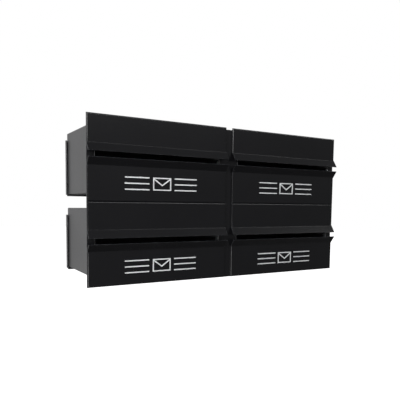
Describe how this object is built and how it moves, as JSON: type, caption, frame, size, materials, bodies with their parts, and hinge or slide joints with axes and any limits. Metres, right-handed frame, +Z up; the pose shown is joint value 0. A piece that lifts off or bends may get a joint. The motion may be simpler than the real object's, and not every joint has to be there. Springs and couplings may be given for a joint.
{
  "type": "cluster mailbox unit",
  "caption": "Through-wall letter boxes in two columns and two rows, with hooded slots at the front and hinged covers at the rear.",
  "frame": {"origin": "on the back face of the centre upright, at the middle of the front's width and height", "axes": "+X along the front to its right end as seen from the front, +Y back into the wall, +Z up"},
  "size_m": [0.616, 0.2073, 0.318],
  "materials": {
    "black_sheet": "satin black powder coat on folded steel sheet",
    "zinc_steel": "zinc-plated steel",
    "silver_mark": "satin silver aluminium",
    "black_plastic": "moulded black plastic"
  },
  "bodies": {
    "front_and_bodies": {"left_upright": "black_sheet", "centre_upright": "black_sheet", "right_upright": "black_sheet", "upright_end_caps": "black_plastic", "lower_left_slot_hood": "black_sheet", "lower_left_front_panel": "black_sheet", "lower_left_post_mark": "silver_mark", "lower_left_body": "black_sheet", "lower_left_body_rivets": "zinc_steel", "lower_left_hinge_body_leaf": "zinc_steel", "lower_left_hinge_pin": "zinc_steel", "lower_left_hinge_body_rivets": "zinc_steel", "lower_right_slot_hood": "black_sheet", "lower_right_front_panel": "black_sheet", "lower_right_post_mark": "silver_mark", "lower_right_body": "black_sheet", "lower_right_body_rivets": "zinc_steel", "lower_right_hinge_body_leaf": "zinc_steel", "lower_right_hinge_pin": "zinc_steel", "lower_right_hinge_body_rivets": "zinc_steel", "upper_left_slot_hood": "black_sheet", "upper_left_front_panel": "black_sheet", "upper_left_post_mark": "silver_mark", "upper_left_body": "black_sheet", "upper_left_body_rivets": "zinc_steel", "upper_left_hinge_body_leaf": "zinc_steel", "upper_left_hinge_pin": "zinc_steel", "upper_left_hinge_body_rivets": "zinc_steel", "upper_right_slot_hood": "black_sheet", "upper_right_front_panel": "black_sheet", "upper_right_post_mark": "silver_mark", "upper_right_body": "black_sheet", "upper_right_body_rivets": "zinc_steel", "upper_right_hinge_body_leaf": "zinc_steel", "upper_right_hinge_pin": "zinc_steel", "upper_right_hinge_body_rivets": "zinc_steel"},
    "lower_left_cover": {"lower_left_rear_cover": "black_sheet", "lower_left_hinge_cover_leaf": "zinc_steel", "lower_left_hinge_cover_rivets": "zinc_steel"},
    "lower_right_cover": {"lower_right_rear_cover": "black_sheet", "lower_right_hinge_cover_leaf": "zinc_steel", "lower_right_hinge_cover_rivets": "zinc_steel"},
    "upper_left_cover": {"upper_left_rear_cover": "black_sheet", "upper_left_hinge_cover_leaf": "zinc_steel", "upper_left_hinge_cover_rivets": "zinc_steel"},
    "upper_right_cover": {"upper_right_rear_cover": "black_sheet", "upper_right_hinge_cover_leaf": "zinc_steel", "upper_right_hinge_cover_rivets": "zinc_steel"}
  },
  "joints": [
    {"name": "lower_left_cover_hinge", "type": "hinge", "parent": "front_and_bodies", "child": "lower_left_cover", "pos_m": [-0.158, 0.1812, -0.0277], "axis": [1, 0, 0], "range_deg": [0, 170]},
    {"name": "lower_right_cover_hinge", "type": "hinge", "parent": "front_and_bodies", "child": "lower_right_cover", "pos_m": [0.158, 0.1812, -0.0277], "axis": [1, 0, 0], "range_deg": [0, 170]},
    {"name": "upper_left_cover_hinge", "type": "hinge", "parent": "front_and_bodies", "child": "upper_left_cover", "pos_m": [-0.158, 0.1812, 0.1313], "axis": [1, 0, 0], "range_deg": [0, 170]},
    {"name": "upper_right_cover_hinge", "type": "hinge", "parent": "front_and_bodies", "child": "upper_right_cover", "pos_m": [0.158, 0.1812, 0.1313], "axis": [1, 0, 0], "range_deg": [0, 170]}
  ]
}
